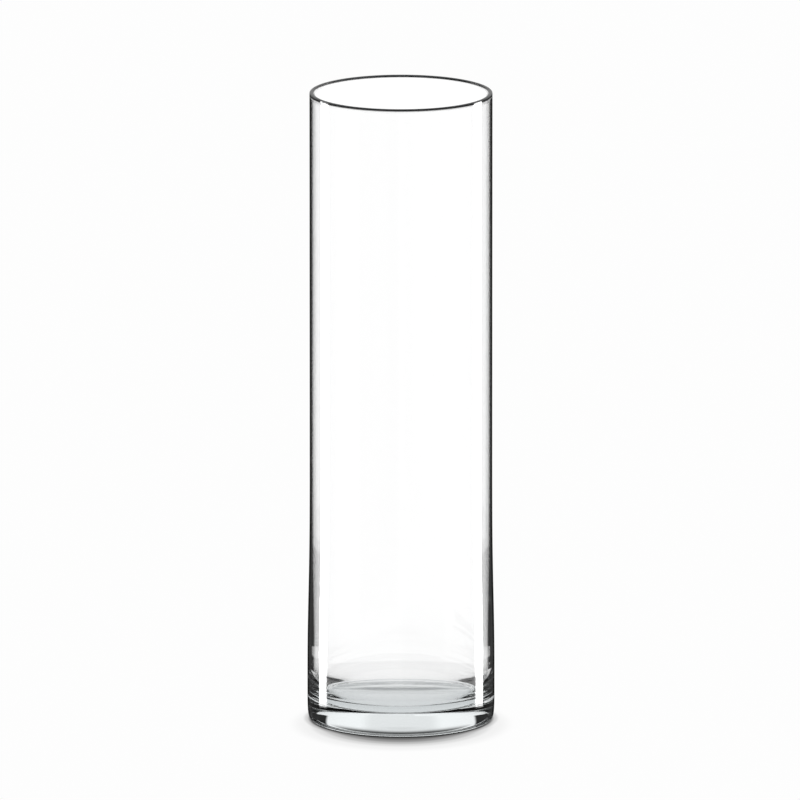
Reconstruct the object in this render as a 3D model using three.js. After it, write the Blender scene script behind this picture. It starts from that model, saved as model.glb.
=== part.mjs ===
// A tall glass cylinder vase: one piece of clear soda-lime glass, turned about +Z.
// Units are millimetres, +Z is up, and the origin is the middle of the underside.
// The outside is a straight tube that swells a little where the glass gathers near the foot.
// The wall is thin at the top, thickens downwards, and runs through a round corner into a heavy base.

import * as THREE from "three";

// Driving dimensions
const HEIGHT = 698;
const FOOT_RADIUS = 102.3;
const FOOT_SWELL = 2.6;
const BODY_RADIUS = FOOT_RADIUS - FOOT_SWELL;

// Wall and base thickness
const WALL_TOP = 2.1;
const WALL_FOOT = 4.8;
const INSIDE_TOP = BODY_RADIUS - WALL_TOP;
const INSIDE_FOOT = FOOT_RADIUS - WALL_FOOT;
const BASE_AT_MIDDLE = 23;
const BASE_AT_CORNER = 23.7;

// Underside: a flat ring to stand on, round a very shallow hollow
const REST_RING_INNER = 68;
const REST_RING_OUTER = FOOT_RADIUS - 7.2;
const HOLLOW_DEPTH = 0.6;

// Foot edge: how far the outside stands in from the foot radius, at each height.
// The last 20 mm lean in very gently before the small rounding at the bottom.
const FOOT_EDGE = [
  [7.2, 0],
  [5.0, 0.25],
  [3.2, 0.9],
  [1.8, 2.7],
  [1.06, 5.1],
  [0.61, 8.1],
  [0.32, 11.5],
  [0.15, 15.3],
  [0, 22],
];

// Swell: how far the outside stands in from the foot radius, between foot and body.
const SWELL = [
  [0, 60],
  [0.13, 84],
  [0.87, 128],
  [1.95, 180],
  [2.5, 240],
  [FOOT_SWELL, 300],
];

// Rim: a flattened fire-polished bead, flush with the outside and proud of the inside.
// Each pair is how far in from the body radius and how far below the top.
const RIM_BEAD = [
  [0, 3],
  [0.38, 0.5],
  [2.3, 0],
  [4.2, 0.45],
  [4.25, 1.4],
  [2.6, 2.65],
  [WALL_TOP, 6],
];

// Inner corner: how far in from the inside of the foot, at each height.
const INNER_CORNER = [
  [0, 72],
  [0.3, 60],
  [0.9, 51],
  [2.3, 43],
  [4.6, 36.5],
  [7.7, 31.5],
  [10.8, 28.2],
  [14.2, 25.7],
  [20, BASE_AT_CORNER],
];

// Fineness of the turned shape
const TURN_STEPS = 72;

// Points across half of the section, as (distance from the axis, height).
const section = [];

// Adds a curve's points, without the one that the section already ends on.
function follow(curve, steps) {
  const points = curve.getPoints(steps);
  section.push(...points.slice(section.length > 0 ? 1 : 0));
}

// A straight run between two points.
function straight(from, to) {
  follow(new THREE.LineCurve(from, to), 1);
}

// A smooth curve through stations measured inwards from a radius.
function through(stations, radius, heightOf, steps) {
  const points = stations.map(
    ([inset, level]) => new THREE.Vector2(radius - inset, heightOf(level)),
  );
  follow(new THREE.SplineCurve(points), steps);
  return points;
}

const upwards = (level) => level;
const belowTop = (level) => HEIGHT - level;

// Outside, from the middle of the underside up to the rim
follow(new THREE.QuadraticBezierCurve(
  new THREE.Vector2(0, HOLLOW_DEPTH),
  new THREE.Vector2(REST_RING_INNER * 0.7, HOLLOW_DEPTH),
  new THREE.Vector2(REST_RING_INNER, 0),
), 3);
straight(new THREE.Vector2(REST_RING_INNER, 0), new THREE.Vector2(REST_RING_OUTER, 0));
through(FOOT_EDGE, FOOT_RADIUS, upwards, 10);
straight(new THREE.Vector2(FOOT_RADIUS, 22), new THREE.Vector2(FOOT_RADIUS, 60));
through(SWELL, FOOT_RADIUS, upwards, 7);

// The straight wall, and over the rim bead to its inside
straight(new THREE.Vector2(BODY_RADIUS, 300), new THREE.Vector2(BODY_RADIUS, HEIGHT - 3));
through(RIM_BEAD, BODY_RADIUS, belowTop, 9);

// Inside, from the rim down to the middle of the floor
straight(new THREE.Vector2(INSIDE_TOP, HEIGHT - 6), new THREE.Vector2(INSIDE_FOOT, 72));
through(INNER_CORNER, INSIDE_FOOT, upwards, 10);
straight(
  new THREE.Vector2(INSIDE_FOOT - 20, BASE_AT_CORNER),
  new THREE.Vector2(0, BASE_AT_MIDDLE),
);

function glassBody() {
  const turned = new THREE.LatheGeometry(section, TURN_STEPS);
  turned.rotateX(Math.PI / 2);
  const clearGlass = new THREE.MeshStandardMaterial({
    color: 0xeef3f2,
    roughness: 0.03,
    metalness: 0,
    transparent: true,
    opacity: 0.35,
  });
  const body = new THREE.Mesh(turned, clearGlass);
  body.name = "vase_body";
  return body;
}

const vase = new THREE.Group();
vase.add(glassBody());

export default vase;
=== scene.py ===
# %% [markdown]
# # A tall cylinder vase in clear glass
# The real vase is one piece of soda-lime glass: a thin straight wall, a fire-polished rim and a heavy
# clear base. There is no paint, seam or fitting, so everything the eye reads as "glass" comes from
# two things: the exact section of the wall, which bends the light, and what stands round the vase,
# which the glass bends and mirrors. This lesson builds the section, turns it, makes the glass, and
# then sets up the kind of studio that glass is photographed in.

# %% Load the frame
import math

import bmesh
import bpy
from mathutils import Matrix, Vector


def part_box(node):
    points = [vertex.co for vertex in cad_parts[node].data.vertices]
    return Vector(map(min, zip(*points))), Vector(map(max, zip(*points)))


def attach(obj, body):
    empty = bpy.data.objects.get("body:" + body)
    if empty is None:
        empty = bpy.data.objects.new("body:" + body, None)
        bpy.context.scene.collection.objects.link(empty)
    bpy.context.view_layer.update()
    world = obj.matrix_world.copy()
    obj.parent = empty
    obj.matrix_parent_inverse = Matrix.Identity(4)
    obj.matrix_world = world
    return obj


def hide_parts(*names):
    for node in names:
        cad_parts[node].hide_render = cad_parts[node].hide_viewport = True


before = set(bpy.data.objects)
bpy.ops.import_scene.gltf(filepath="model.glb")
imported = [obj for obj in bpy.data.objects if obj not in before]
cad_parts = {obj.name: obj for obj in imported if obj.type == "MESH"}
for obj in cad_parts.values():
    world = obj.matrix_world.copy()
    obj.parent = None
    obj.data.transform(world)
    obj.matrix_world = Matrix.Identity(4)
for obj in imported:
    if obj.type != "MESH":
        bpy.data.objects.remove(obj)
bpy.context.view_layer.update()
low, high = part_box("vase_body")
height = high.z
foot_radius = (high.x - low.x) / 2
print(f"vase: {height * 1000:.1f} mm tall, {foot_radius * 2000:.1f} mm across the foot")

# %% [markdown]
# ## The section of the wall
# A glassblower's vase is a turned shape, so half of its section says everything. The section could
# be traced point by point, but then every curve would carry the tracing's wobble, and glass shows the
# smallest wobble. A short cage of control points under a Subdivision Surface is better: three points
# in a row give a dead straight wall, and the rounding between rows is a smooth curve.
# All sizes are in metres and hang on the height and the foot radius that the frame gives.

# %% Sizes of the section
MM = 0.001
foot_swell = 2.6 * MM
body_radius = foot_radius - foot_swell
wall_top = 2.1 * MM
wall_foot = 4.8 * MM
rim_bead = 4.6 * MM
bead_height = 1.6 * MM
base_middle = 23 * MM
base_corner = 24.2 * MM
hollow_depth = 0.6 * MM
inside_top = body_radius - wall_top
inside_foot = foot_radius - wall_foot
print(f"wall: {wall_top / MM:.1f} mm at the top, {wall_foot / MM:.1f} mm at the foot")


# %% The cage of the section, from the middle of the underside round to the middle of the floor
def section_cage():
    """Pairs of (distance from the axis, height), in metres."""
    bead_low = height - bead_height
    underside = [
        (0.012, hollow_depth),
        (0.024, hollow_depth),
        (0.046, hollow_depth * 0.5),
        (0.068, 0.0),
        (0.078, 0.0),
        (foot_radius - 11.0 * MM, 0.0),
        (foot_radius - 5.6 * MM, 0.0),
    ]
    foot = [
        (foot_radius - 3.0 * MM, 0.7 * MM),
        (foot_radius - 1.7 * MM, 2.6 * MM),
        (foot_radius - 1.02 * MM, 5.0 * MM),
        (foot_radius - 0.58 * MM, 8.0 * MM),
        (foot_radius - 0.30 * MM, 11.5 * MM),
        (foot_radius - 0.14 * MM, 15.0 * MM),
        (foot_radius - 0.04 * MM, 20.0 * MM),
        (foot_radius, 27.0 * MM),
        (foot_radius, 40.0 * MM),
        (foot_radius, 85.0 * MM),
        (foot_radius - 0.3 * foot_swell, 125.0 * MM),
        (foot_radius - 0.8 * foot_swell, 180.0 * MM),
        (body_radius, 235.0 * MM),
        (body_radius, 330.0 * MM),
    ]
    outside = [
        (body_radius, height - 20.0 * MM),
        (body_radius, height - 10.0 * MM),
        (body_radius, bead_low),
    ]
    rim = [
        (body_radius, height - 0.35 * MM),
        (body_radius - rim_bead / 2, height + 0.25 * MM),
        (body_radius - rim_bead, height - 0.35 * MM),
        (body_radius - rim_bead, bead_low + 0.3 * MM),
    ]
    inside = [
        (inside_top, bead_low - 0.9 * MM),
        (inside_top, bead_low - 3.0 * MM),
        (inside_top, height - 20.0 * MM),
        (inside_top, 400.0 * MM),
        (inside_top, 330.0 * MM),
        (inside_top, 270.0 * MM),
        (inside_top, 230.0 * MM),
        (inside_top + 0.2 * (inside_foot - inside_top), 170.0 * MM),
        (inside_foot, 105.0 * MM),
        (inside_foot, 80.0 * MM),
    ]
    floor = [
        (inside_foot, 60.0 * MM),
        (inside_foot - 1.6 * MM, 42.0 * MM),
        (inside_foot - 7.5 * MM, 30.5 * MM),
        (inside_foot - 14.5 * MM, base_corner + 1.0 * MM),
        (inside_foot - 19.0 * MM, base_corner - 0.5 * MM),
        (inside_foot - 25.0 * MM, base_corner - 0.6 * MM),
        (0.040, base_middle),
        (0.024, base_middle),
        (0.012, base_middle),
    ]
    return underside + foot + outside + rim + inside + floor


# %% [markdown]
# ## Turning the section
# The cage is spun once round the Z axis. The two ends stop short of the axis and are closed with a
# flat round face each, because a fan of thin triangles meeting at a point would pinch the glass
# there. The subdivision then rounds the steps of the turn, which pulls every ring inwards by a
# known share, so the cage is first made larger by that share.

# %% Spin the cage and smooth it
TURN_STEPS = 128
SMOOTHING = 2


def turned_glass(name, cage):
    """A closed body turned from a cage of (radius, height) pairs."""
    bm = bmesh.new()
    ring_shrink = (2 + math.cos(2 * math.pi / TURN_STEPS)) / 3
    verts = [bm.verts.new((radius / ring_shrink, 0, z)) for radius, z in cage]
    edges = [bm.edges.new(pair) for pair in zip(verts, verts[1:])]
    bmesh.ops.spin(
        bm,
        geom=verts + edges,
        cent=(0, 0, 0),
        axis=(0, 0, 1),
        angle=2 * math.pi,
        steps=TURN_STEPS,
        use_merge=True,
    )
    bmesh.ops.remove_doubles(bm, verts=bm.verts, dist=0.00001)
    open_rings = [edge for edge in bm.edges if edge.is_boundary]
    bmesh.ops.holes_fill(bm, edges=open_rings, sides=0)
    bmesh.ops.recalc_face_normals(bm, faces=bm.faces)
    for face in bm.faces:
        face.smooth = True
    mesh = bpy.data.meshes.new(name)
    bm.to_mesh(mesh)
    bm.free()
    body = bpy.data.objects.new(name, mesh)
    bpy.context.scene.collection.objects.link(body)
    smooth = body.modifiers.new("smooth", "SUBSURF")
    smooth.levels = SMOOTHING
    smooth.render_levels = SMOOTHING
    return body


vase = turned_glass("vase_glass", section_cage())
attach(vase, "root")
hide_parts("vase_body")
print(f"cage: {len(section_cage())} rings, {len(vase.data.polygons)} faces before smoothing")


# %% [markdown]
# ## Clear glass
# Blown soda-lime glass is nearly colourless: only a long way through it, as in the base, turns it
# faintly grey-green, so the colour goes into the volume and not onto the surface. A glass shader
# with full transmission does the rest. Three small things keep it from looking like plastic film.
# - The rim was melted round. The real bead is clear and looks dark because it bends the dark room
#   into view. Here that dark look is painted shade, a near-black base colour from where the bead
#   starts.
# - The surface is fire-polished, yet never quite even. A slow ripple, a hundredth of a millimetre
#   high, bends the lines seen through the wall by a hair.
# - Handling leaves a breath of haze, uneven and hardly there, in the roughness.
# All three follow Object coordinates, so they stay where they are when the vase is turned.

# %% Short helpers for node trees
def add_node(tree, kind, **settings):
    """A node of that kind, with its settings made."""
    node = tree.nodes.new(kind)
    for name, setting in settings.items():
        setattr(node, name, setting)
    return node


def plug(tree, value, socket):
    """Links a socket into another, or sets a plain value."""
    if isinstance(value, bpy.types.NodeSocket):
        tree.links.new(value, socket)
    else:
        socket.default_value = value


def calculate(tree, kind, *values):
    """A Math node on sockets and plain numbers."""
    node = add_node(tree, "ShaderNodeMath", operation=kind)
    for value, socket in zip(values, node.inputs):
        plug(tree, value, socket)
    return node.outputs[0]


def ease(tree, value, low_in, high_in, low_out, high_out):
    """A soft step: low_out up to low_in, high_out from high_in on."""
    node = add_node(tree, "ShaderNodeMapRange", interpolation_type="SMOOTHSTEP")
    for name, setting in (
        ("Value", value),
        ("From Min", low_in),
        ("From Max", high_in),
        ("To Min", low_out),
        ("To Max", high_out),
    ):
        plug(tree, setting, node.inputs[name])
    return node.outputs["Result"]


def choose(tree, factor, off, on):
    """A blend of two numbers."""
    node = add_node(tree, "ShaderNodeMix", data_type="FLOAT")
    for slot, setting in ((0, factor), (2, off), (3, on)):
        plug(tree, setting, node.inputs[slot])
    return node.outputs[0]


def blend(tree, factor, off, on, kind="MIX"):
    """A blend of two colours."""
    node = add_node(tree, "ShaderNodeMix", data_type="RGBA", blend_type=kind)
    for slot, setting in ((0, factor), (6, off), (7, on)):
        plug(tree, setting, node.inputs[slot])
    return node.outputs[2]


# %% The glass
BEAD_STARTS = height - 2.1 * MM
# painted shade for the rim bead: a near-black base colour in place of the dark room that the clear
# bead bends into view
BEAD_PAINTED_SHADE = (0.0004, 0.0006, 0.0008, 1)
GLASS_CAST = (0.88, 0.93, 0.94, 1)
BEAD_SOFTNESS = 0.35 * MM
WHITE = (1, 1, 1, 1)
CAST_DENSITY = 4
REFRACTION = 1.52
HAZE_SCALE = 14
MOST_HAZE = 0.02
RIPPLE_HEIGHT = 0.01 * MM
RIPPLE_SCALE = 18
RIPPLE_STRETCH = 0.35


def clear_glass():
    """Fire-polished soda-lime glass, with painted shade on the rim bead."""
    material = bpy.data.materials.new("clear_glass")
    material.use_nodes = True
    tree = material.node_tree
    glass = tree.nodes["Principled BSDF"]
    glass.inputs["Metallic"].default_value = 0
    glass.inputs["IOR"].default_value = REFRACTION
    glass.inputs["Transmission Weight"].default_value = 1
    place = add_node(tree, "ShaderNodeTexCoord").outputs["Object"]

    split = add_node(tree, "ShaderNodeSeparateXYZ")
    plug(tree, place, split.inputs[0])
    # painted shade: the base colour turns near-black from BEAD_STARTS up, over the rim bead
    bead_from, bead_to = BEAD_STARTS - BEAD_SOFTNESS, BEAD_STARTS + BEAD_SOFTNESS
    bead = ease(tree, split.outputs["Z"], bead_from, bead_to, 0, 1)
    plug(tree, blend(tree, bead, WHITE, BEAD_PAINTED_SHADE), glass.inputs["Base Color"])

    haze = add_node(tree, "ShaderNodeTexNoise")
    plug(tree, place, haze.inputs["Vector"])
    haze.inputs["Scale"].default_value = HAZE_SCALE
    haze.inputs["Detail"].default_value = 3
    plug(tree, ease(tree, haze.outputs["Fac"], 0.55, 0.8, 0, MOST_HAZE), glass.inputs["Roughness"])

    drawn_up = add_node(tree, "ShaderNodeMapping")
    drawn_up.inputs["Scale"].default_value = (1, 1, RIPPLE_STRETCH)
    plug(tree, place, drawn_up.inputs["Vector"])
    ripple = add_node(tree, "ShaderNodeTexNoise")
    plug(tree, drawn_up.outputs[0], ripple.inputs["Vector"])
    ripple.inputs["Scale"].default_value = RIPPLE_SCALE
    ripple.inputs["Detail"].default_value = 0
    bump = add_node(tree, "ShaderNodeBump")
    bump.inputs["Distance"].default_value = RIPPLE_HEIGHT
    plug(tree, ripple.outputs["Fac"], bump.inputs["Height"])
    plug(tree, bump.outputs["Normal"], glass.inputs["Normal"])

    cast = add_node(tree, "ShaderNodeVolumeAbsorption")
    cast.inputs["Color"].default_value = GLASS_CAST
    cast.inputs["Density"].default_value = CAST_DENSITY
    plug(tree, cast.outputs["Volume"], tree.nodes["Material Output"].inputs["Volume"])
    return material


vase.data.materials.append(clear_glass())
# the bead smoke in this print is painted shade on the rim bead
print(f"glass: bead smoke from {BEAD_STARTS / MM:.1f} mm up, ripple {RIPPLE_HEIGHT / MM} mm high")

# %% [markdown]
# ## A light table
# Clear glass is photographed on a white sheet that glows, so that the floor and the background
# become one pale field. A sheet that is lit by lamps would need a long render before the light that
# falls through the glass is smooth, so this sheet gives its own light. What a lamp would have drawn
# on it is painted into that light instead:
# - a soft shadow round the foot, a little nearer to the viewer, because the big light is behind;
# - a thin dark line where the foot touches the sheet;
# - a grey disc under the glass, as the base shades the sheet that it stands on;
# - two dark wings at the sides, where low black card keeps stray light off the table. Low card is
#   only met by light that travels near the table, so the wings fade out for steeper looks.
# The sheet is in two rings, because only the near one should be seen through the glass: the
# distance is left to the sky. It lies a fifth of a millimetre under the foot, because two faces in
# the same place would fight.

# %% Sizes and levels of the light table
NEAR_TABLE = 0.21
FAR_TABLE = 60
JUST_UNDER = 0.2 * MM
TABLE_LIGHT = 0.985
TABLE_UNDER_GLASS = (0.66, 0.69, 0.70, 1)
WING_LIGHT = (0.02, 0.02, 0.02, 1)
WING_BEARING = math.radians(70)
WING_HALF_WIDTH = math.radians(28)
WING_FADE = (math.sin(math.radians(17)), math.sin(math.radians(21)))
SHADOW_FORWARD = 0.030
SHADOW = [
    (0.077, 0.165),
    (0.087, 0.30),
    (0.098, 0.53),
    (0.108, 0.74),
    (0.119, 0.89),
    (0.145, TABLE_LIGHT),
]
TOUCH_LINE = [(0.098, 0.1), (0.103, 0.75), (0.108, 1)]
UNDER_GLASS = [(0.099, 1), (0.104, 0)]
RAMP_REACH = 0.2
REFLECTIONS_FADE = (2, 4)
DEEP_TABLE = 0.15


# %% The sheet's own light
def by_distance(tree, place, move, stretch, stops):
    """Light by distance from a middle, from stops of (metres, light)."""
    mapping = add_node(tree, "ShaderNodeMapping")
    mapping.inputs["Location"].default_value = move
    mapping.inputs["Scale"].default_value = stretch
    plug(tree, place, mapping.inputs["Vector"])
    length = add_node(tree, "ShaderNodeVectorMath", operation="LENGTH")
    plug(tree, mapping.outputs[0], length.inputs[0])
    ramp = add_node(tree, "ShaderNodeValToRGB")
    ramp.color_ramp.interpolation = "EASE"
    plug(tree, calculate(tree, "DIVIDE", length.outputs["Value"], RAMP_REACH), ramp.inputs["Fac"])
    marks = ramp.color_ramp.elements
    while len(marks) < len(stops):
        marks.new(0.5)
    for mark, (metres, light) in zip(marks, stops):
        mark.position = metres / RAMP_REACH
        mark.color = (light, light, light, 1)
    return ramp.outputs["Color"]


def lit_sheet():
    """A sheet that glows, with the shades round the foot in its light."""
    material = bpy.data.materials.new("lit_sheet")
    material.use_nodes = True
    tree = material.node_tree
    tree.nodes.clear()
    place = add_node(tree, "ShaderNodeTexCoord").outputs["Object"]
    middle, even = (0, 0, 0), (1, 1, 1)
    shadow = by_distance(tree, place, (0, SHADOW_FORWARD, 0), (1.15, 1, 1), SHADOW)
    touch = by_distance(tree, place, middle, even, TOUCH_LINE)
    under = by_distance(tree, place, middle, even, UNDER_GLASS)

    split = add_node(tree, "ShaderNodeSeparateXYZ")
    plug(tree, place, split.inputs[0])
    bearing = calculate(tree, "ARCTAN2", split.outputs["X"], split.outputs["Y"])
    bearing = calculate(tree, "ABSOLUTE", bearing)
    off_wing = calculate(tree, "ABSOLUTE", calculate(tree, "SUBTRACT", bearing, WING_BEARING))
    lit = calculate(tree, "GREATER_THAN", off_wing, WING_HALF_WIDTH)
    incoming = add_node(tree, "ShaderNodeSeparateXYZ")
    plug(tree, add_node(tree, "ShaderNodeNewGeometry").outputs["Incoming"], incoming.inputs[0])
    looks_down = ease(tree, incoming.outputs["Z"], *WING_FADE, 0, 1)
    lit = calculate(tree, "MAXIMUM", lit, looks_down)

    path = add_node(tree, "ShaderNodeLightPath").outputs
    open_table = blend(tree, lit, WING_LIGHT, shadow)
    through_glass = blend(tree, under, open_table, TABLE_UNDER_GLASS)
    bare = blend(tree, 1.0, shadow, touch, "MULTIPLY")
    light = blend(tree, path["Is Camera Ray"], through_glass, bare)
    glow = add_node(tree, "ShaderNodeEmission")
    plug(tree, light, glow.inputs["Color"])
    strength = ease(tree, path["Glossy Depth"], *REFLECTIONS_FADE, 1, DEEP_TABLE)
    plug(tree, strength, glow.inputs["Strength"])
    end = add_node(tree, "ShaderNodeOutputMaterial")
    plug(tree, glow.outputs[0], end.inputs["Surface"])
    return material


# %% Lay the two rings of the table
def round_sheet(name, outer, inner=0.0):
    """A flat round sheet just under the foot, with a round hole if inner is given."""
    bm = bmesh.new()
    bmesh.ops.create_circle(bm, segments=128, radius=outer, cap_ends=inner == 0)
    if inner:
        bmesh.ops.create_circle(bm, segments=128, radius=inner)
        bmesh.ops.bridge_loops(bm, edges=bm.edges)
    bmesh.ops.translate(bm, verts=bm.verts, vec=(0, 0, -JUST_UNDER))
    bmesh.ops.recalc_face_normals(bm, faces=bm.faces)
    mesh = bpy.data.meshes.new(name)
    bm.to_mesh(mesh)
    bm.free()
    sheet = bpy.data.objects.new(name, mesh)
    bpy.context.scene.collection.objects.link(sheet)
    return sheet


near = round_sheet("table_near", NEAR_TABLE)
far = round_sheet("table_far", FAR_TABLE, NEAR_TABLE)
glowing = lit_sheet()
for part in (near, far):
    part.data.materials.append(glowing)
    part.visible_glossy = False
far.visible_transmission = False
print(f"table: near ring to {NEAR_TABLE} m, far ring to {FAR_TABLE} m")

# %% [markdown]
# ## A studio drawn in the sky
# Glass has no look of its own, so the studio is the picture. A bright-field set is used: one large
# white panel behind the vase, with the rest of the room kept dark. Light that comes straight
# through meets the panel. Light that the edge of the wall bends far aside misses it, and so the
# outline draws itself as a thin dark line. Two tall strip lights stand out of view behind the vase,
# one at each side, and their reflections run down the wall as white bands.
#
# The panels could be planes, but planes catch the table's light and each other's edges, and they
# would stand in other views' way. The sky can hold them as directions instead: a bearing, counted
# in degrees from straight behind the vase, and a height in degrees above the horizon. The rules are
# soft steps on those two numbers, and their angles and levels were found by trial. Rays that leave
# the glass downwards see a panel at each eighth of a turn, so that the vase is lit in the same way
# from its sides and its corners.

# %% Levels of the studio
BACKGROUND = 0.985
PANEL_LIGHT = 1.06
ROOM_DARK = 0.02
SIDE_LIGHT = 1.1
GLANCING_SIDE = 0.1
RIM_SKY = 0.6
STRIP_LIGHT = 15
INNER_STRIP = 1.5
DEEP_SKY = 0.8
LEAST_DEEP_SKY = 0.03
GAP_LIGHT = 0.08


# %% Directions as bearing and height
def either(tree, *values):
    """The largest of several numbers."""
    largest = values[0]
    for value in values[1:]:
        largest = calculate(tree, "MAXIMUM", largest, value)
    return largest


def both(tree, *values):
    """Several shares multiplied together."""
    share = values[0]
    for value in values[1:]:
        share = calculate(tree, "MULTIPLY", share, value)
    return share


def off_bearing(tree, turn, bearing, step=360):
    """Degrees from a bearing, or from the nearest of several that are step apart."""
    turns = calculate(tree, "DIVIDE", calculate(tree, "SUBTRACT", turn, bearing), step)
    over = calculate(tree, "SUBTRACT", turns, calculate(tree, "ROUND", turns))
    return both(tree, calculate(tree, "ABSOLUTE", over), step)


def off_height(tree, up, level, near, far):
    """A soft-edged band of heights round a level."""
    away = calculate(tree, "ABSOLUTE", calculate(tree, "SUBTRACT", up, level))
    return ease(tree, away, near, far, 1, 0)


# %% [markdown]
# ### Light that comes through
# Above the horizon one wide panel stands behind, with a large one overhead and smaller panels that
# fill what the base bends sideways. Just above the horizon is a gap, which the base shows as its
# grey tone. Below the horizon is the ring of narrow panels.

# %% Panels seen through the glass
def seen_through(tree, turn, up):
    """Level of the light that passes through, and the share of it that comes from behind."""
    behind = ease(
        tree,
        off_bearing(tree, turn, 0),
        ease(tree, up, 17, 20, 42, 62),
        ease(tree, up, 17, 20, 46, 66),
        1,
        0,
    )
    softer_middle = ease(tree, off_bearing(tree, turn, 0), 12, 20, 0.85, 1)
    overhead = ease(tree, up, 45, 55, 0, 1)
    opposite = both(
        tree,
        off_height(tree, up, 15, 1.3, 1.7),
        ease(tree, off_bearing(tree, turn, 135), 42, 46, 1, 0),
    )
    shallow = calculate(tree, "LESS_THAN", calculate(tree, "ABSOLUTE", up), 7)
    left = both(tree, shallow, ease(tree, off_bearing(tree, turn, -90), 34, 38, 1, 0))
    corner = both(
        tree,
        off_height(tree, up, 25, 4, 4.5),
        ease(tree, off_bearing(tree, turn, -45), 38, 42, 1, 0),
    )
    gap = either(tree, ease(tree, up, 5, 6.5, 1, 0), ease(tree, up, 9.5, 12.2, GAP_LIGHT, 1))
    upper = either(tree, both(tree, behind, softer_middle), overhead, opposite, left, corner)
    lower = ease(tree, off_bearing(tree, turn, 0, 45), 11, 16, 1, 0)
    above = calculate(tree, "GREATER_THAN", up, 0)
    panel = choose(tree, above, lower, both(tree, upper, gap))
    return choose(tree, panel, ROOM_DARK, PANEL_LIGHT), either(tree, behind, LEAST_DEEP_SKY)


# %% [markdown]
# ### Light that the wall mirrors
# At the edge the wall acts as a mirror. What the outer face mirrors leaves after one bounce and
# what the inner face mirrors has been through glass first, so the two can be lit apart: the outer
# face stays dark, which is the drawn outline, and the inner one gets the strip light. `Ray Depth`
# tells them apart: it is 2 for a ray that met the outer face and left.

# %% Lights seen as reflections
def seen_mirrored(tree, turn, up, at_once):
    """Level of the light in the reflections, below and above the horizon."""
    height_off = calculate(tree, "ABSOLUTE", up)
    shallow = calculate(tree, "LESS_THAN", height_off, 7)
    steep = calculate(tree, "GREATER_THAN", height_off, 18)
    first = off_bearing(tree, turn, choose(tree, steep, 0, -45))

    wall_height = calculate(tree, "COMPARE", up, -11.8)
    wall_height.node.inputs[2].default_value = 1.6
    moved_in = choose(tree, at_once, choose(tree, wall_height, 40, 9), 0)
    from_edge = calculate(tree, "SUBTRACT", first, moved_in)
    side_light = choose(tree, at_once, SIDE_LIGHT, GLANCING_SIDE)
    side = ease(tree, from_edge, 19, 26, ROOM_DARK, side_light)

    strip = both(
        tree,
        ease(tree, first, 57, 59, 0, 1),
        ease(tree, first, choose(tree, at_once, 70, 72), choose(tree, at_once, 71.5, 77), 1, 0),
        ease(tree, up, -12.9, -12.4, 0, 1),
        ease(tree, up, 10, 14, 1, 0),
    )
    side = choose(tree, strip, side, choose(tree, at_once, INNER_STRIP, STRIP_LIGHT))
    dark_card = off_bearing(tree, turn, choose(tree, shallow, 150, -90))
    side = both(tree, side, ease(tree, dark_card, 25, 31, choose(tree, shallow, 0.7, 0.03), 1))
    glancing = either(tree, both(tree, strip, STRIP_LIGHT), RIM_SKY)
    return side, glancing


# %% [markdown]
# ### Put the sky together
# A ray that has bounced inside the wall many times would find a bright panel by chance and leave
# sparks in the corners. So the level fades as the number of reflections grows. That is a choice
# made for the picture and not a law of glass.

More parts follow.
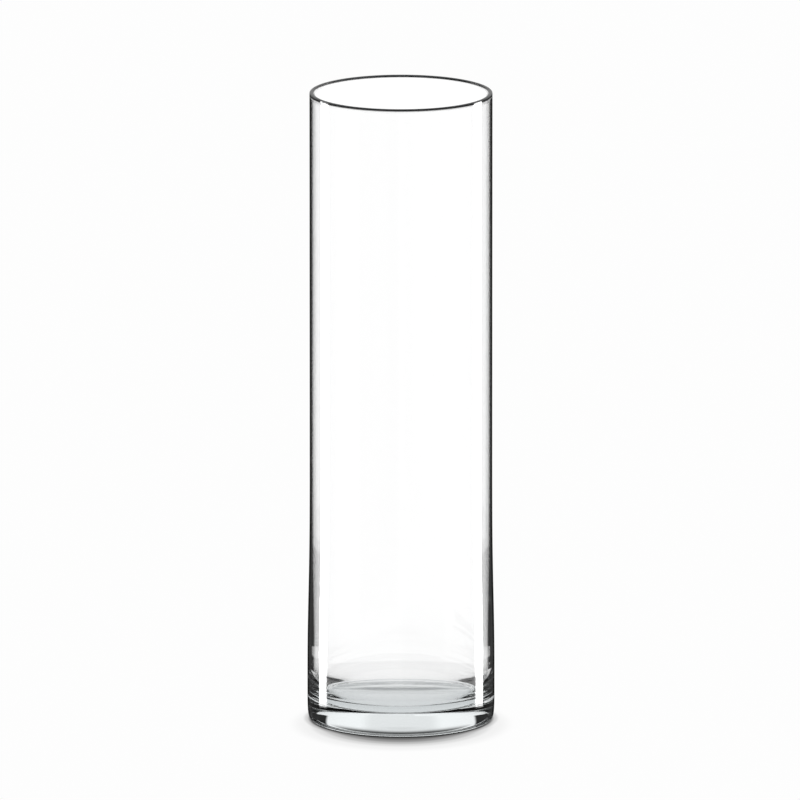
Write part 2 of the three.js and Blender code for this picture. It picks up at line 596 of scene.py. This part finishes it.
# %% The sky
def studio_world():
    """A sky that holds the panels, the strips and the dark room."""
    world = bpy.data.worlds.new("studio")
    bpy.context.scene.world = world
    world.use_nodes = True
    world.cycles.sampling_method = "NONE"
    tree = world.node_tree
    tree.nodes.clear()
    split = add_node(tree, "ShaderNodeSeparateXYZ")
    plug(tree, add_node(tree, "ShaderNodeTexCoord").outputs["Generated"], split.inputs[0])
    x, y, z = split.outputs
    turn = both(tree, calculate(tree, "ARCTAN2", x, y), 180 / math.pi)
    up = both(tree, calculate(tree, "ARCSINE", z), 180 / math.pi)
    path = add_node(tree, "ShaderNodeLightPath").outputs
    at_once = calculate(tree, "LESS_THAN", path["Ray Depth"], 2.5)

    through, from_behind = seen_through(tree, turn, up)
    side, glancing = seen_mirrored(tree, turn, up, at_once)
    above = calculate(tree, "GREATER_THAN", up, 0)
    mirrored = choose(tree, above, side, choose(tree, at_once, through, glancing))
    was_mirrored = calculate(tree, "GREATER_THAN", path["Glossy Depth"], 0.5)
    level = choose(tree, was_mirrored, through, mirrored)
    deep = both(tree, from_behind, DEEP_SKY)
    fade = ease(tree, path["Glossy Depth"], *REFLECTIONS_FADE, 1, deep)
    level = choose(tree, path["Is Camera Ray"], both(tree, level, fade), BACKGROUND)
    background = add_node(tree, "ShaderNodeBackground")
    background.inputs["Color"].default_value = WHITE
    plug(tree, level, background.inputs["Strength"])
    end = add_node(tree, "ShaderNodeOutputWorld")
    plug(tree, background.outputs[0], end.inputs["Surface"])
    return world


sky = studio_world()
print(f"sky: {len(sky.node_tree.nodes)} nodes, panel {PANEL_LIGHT}, strips {STRIP_LIGHT}")

# %% [markdown]
# ## The camera
# The vase is seen from a little above, so that the rim opens into a narrow oval and the base shows
# its floor. A very long lens from far away keeps the two sides of the tube parallel. The glass
# needs several bounces before the light is out again, and too many only add sparks in the corners.
# Standard colour keeps a white field white, where a filmic one would make it grey.

# %% Camera and light paths
ELEVATION = math.radians(11.8)
LENS = 1200
ACROSS = 0.8735
AIM = Vector((-1.08 * MM, 0, height / 2 + 6.25 * MM))
scene = bpy.context.scene
scene.view_settings.view_transform = "Standard"
scene.cycles.max_bounces = 12
scene.cycles.glossy_bounces = 8
scene.cycles.transmission_bounces = 12
camera_data = bpy.data.cameras.new("camera")
camera_data.lens = LENS
camera_data.clip_end = 200
camera = bpy.data.objects.new("camera", camera_data)
scene.collection.objects.link(camera)
scene.camera = camera
away = ACROSS * LENS / camera_data.sensor_width
back = Vector((0, -math.cos(ELEVATION), math.sin(ELEVATION)))
camera.location = AIM + back * away
camera.rotation_euler = (-back).to_track_quat("-Z", "Y").to_euler()
print(f"camera: {away:.1f} m away, {math.degrees(ELEVATION):.1f} degrees above the vase")

# %% [markdown]
# ## Measure
# The smoothed glass is meant to fill the same box as the frame's plain solid, to a fraction of a
# millimetre. Here only its triangles are counted.

# %% Count the triangles
smoothed = vase.evaluated_get(bpy.context.evaluated_depsgraph_get())
triangles = sum(len(face.vertices) - 2 for face in smoothed.data.polygons)
print(f"glass: {triangles} triangles after smoothing")
